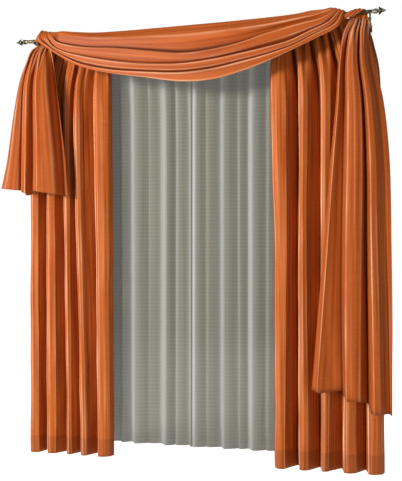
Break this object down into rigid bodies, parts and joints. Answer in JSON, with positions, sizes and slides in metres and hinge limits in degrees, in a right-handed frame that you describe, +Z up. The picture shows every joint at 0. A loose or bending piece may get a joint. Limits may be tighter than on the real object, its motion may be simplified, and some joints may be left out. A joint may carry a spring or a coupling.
{
  "type": "curtain panels, sheer and scarf valance on a rod",
  "caption": "Opaque curtain panels and a grey sheer under a draped scarf with a short and a long tail, hung on a bracketed rod with arrowhead finials.",
  "frame": {"origin": "middle of the front rod's axis", "axes": "+Z up, +X along the rods to the viewer's right, +Y back towards the wall"},
  "size_m": [2.2424, 0.3444, 2.491],
  "materials": {
    "taffeta": "woven taffeta with a soft sheen",
    "sheer": "fine grey voile",
    "bronze": "dark antique bronze"
  },
  "bodies": {
    "root": {"front_rod": "bronze", "finial_left": "bronze", "finial_right": "bronze", "panel_rod": "bronze", "voile_rod": "bronze", "bracket_left": "bronze", "bracket_right": "bronze", "panel_left": "taffeta", "panel_right": "taffeta", "voile": "sheer", "scarf": "taffeta"}
  },
  "joints": []
}
